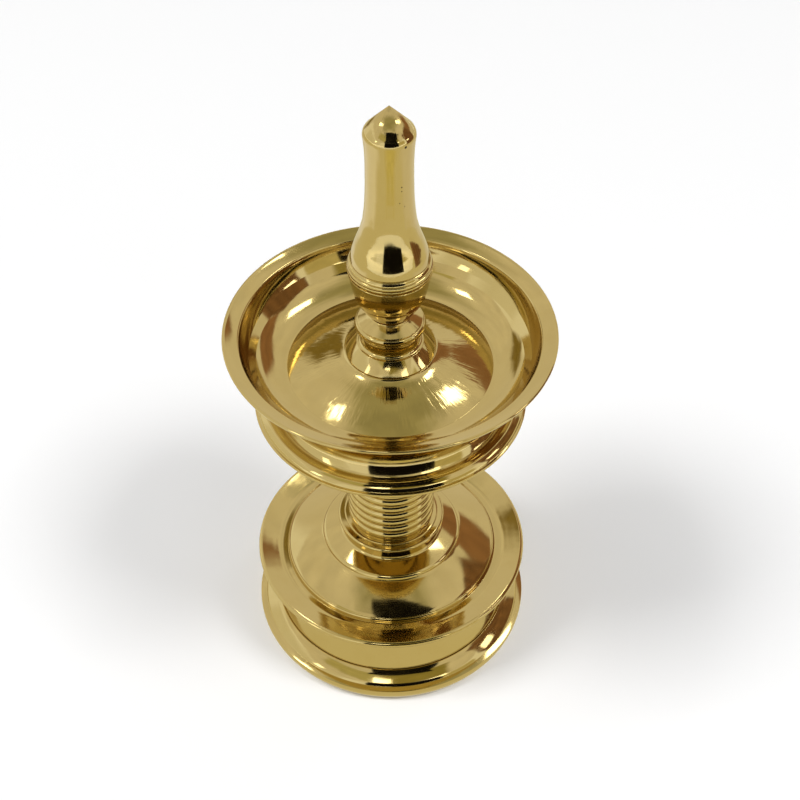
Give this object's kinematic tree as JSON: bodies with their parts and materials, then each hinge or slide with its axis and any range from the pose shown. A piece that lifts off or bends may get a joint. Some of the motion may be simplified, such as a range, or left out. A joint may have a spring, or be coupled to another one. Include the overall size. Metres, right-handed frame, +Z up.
{
  "type": "nilavilakku oil lamp",
  "caption": "Turned brass oil lamp: a domed hollow base, a ribbed stem, a wide shallow oil bowl and a pointed finial, which unscrew from one another.",
  "frame": {"origin": "on the lamp's axis, at the level of the surface that it stands on", "axes": "+Z up along the lamp's axis, towards the tip of the finial; +X and +Y lie level, +Y away from the camera of the picture"},
  "size_m": [0.073, 0.073, 0.15],
  "materials": {
    "polished_brass": "turned and polished",
    "rod_brass": "cut thread, unpolished"
  },
  "bodies": {
    "base_body": {"base": "polished_brass"},
    "stem_stud_body": {"stem_stud": "rod_brass"},
    "stem_body": {"stem": "polished_brass"},
    "bowl_stud_body": {"bowl_stud": "rod_brass"},
    "bowl_body": {"oil_bowl": "polished_brass"},
    "finial_stud_body": {"finial_stud": "rod_brass"},
    "finial_body": {"finial": "polished_brass"}
  },
  "joints": [
    {"name": "stem_lift", "type": "slide", "parent": "base_body", "child": "stem_stud_body", "axis": [0, 0, 1], "range_m": [0, 0.009]},
    {"name": "stem_turn", "type": "hinge", "parent": "stem_stud_body", "child": "stem_body", "pos_m": [0, 0, 0.0333], "axis": [0, 0, 1], "range_deg": [0, 2161]},
    {"name": "bowl_lift", "type": "slide", "parent": "stem_body", "child": "bowl_stud_body", "axis": [0, 0, 1], "range_m": [0, 0.009]},
    {"name": "bowl_turn", "type": "hinge", "parent": "bowl_stud_body", "child": "bowl_body", "pos_m": [0, 0, 0.0713], "axis": [0, 0, 1], "range_deg": [0, 2161]},
    {"name": "finial_lift", "type": "slide", "parent": "bowl_body", "child": "finial_stud_body", "axis": [0, 0, 1], "range_m": [0, 0.009]},
    {"name": "finial_turn", "type": "hinge", "parent": "finial_stud_body", "child": "finial_body", "pos_m": [0, 0, 0.0872], "axis": [0, 0, 1], "range_deg": [0, 2161]}
  ],
  "couplings": [
    {"joint": "stem_turn", "follows": "stem_lift", "rad_per_m": 4188.8},
    {"joint": "bowl_turn", "follows": "bowl_lift", "rad_per_m": 4188.8},
    {"joint": "finial_turn", "follows": "finial_lift", "rad_per_m": 4188.8}
  ]
}
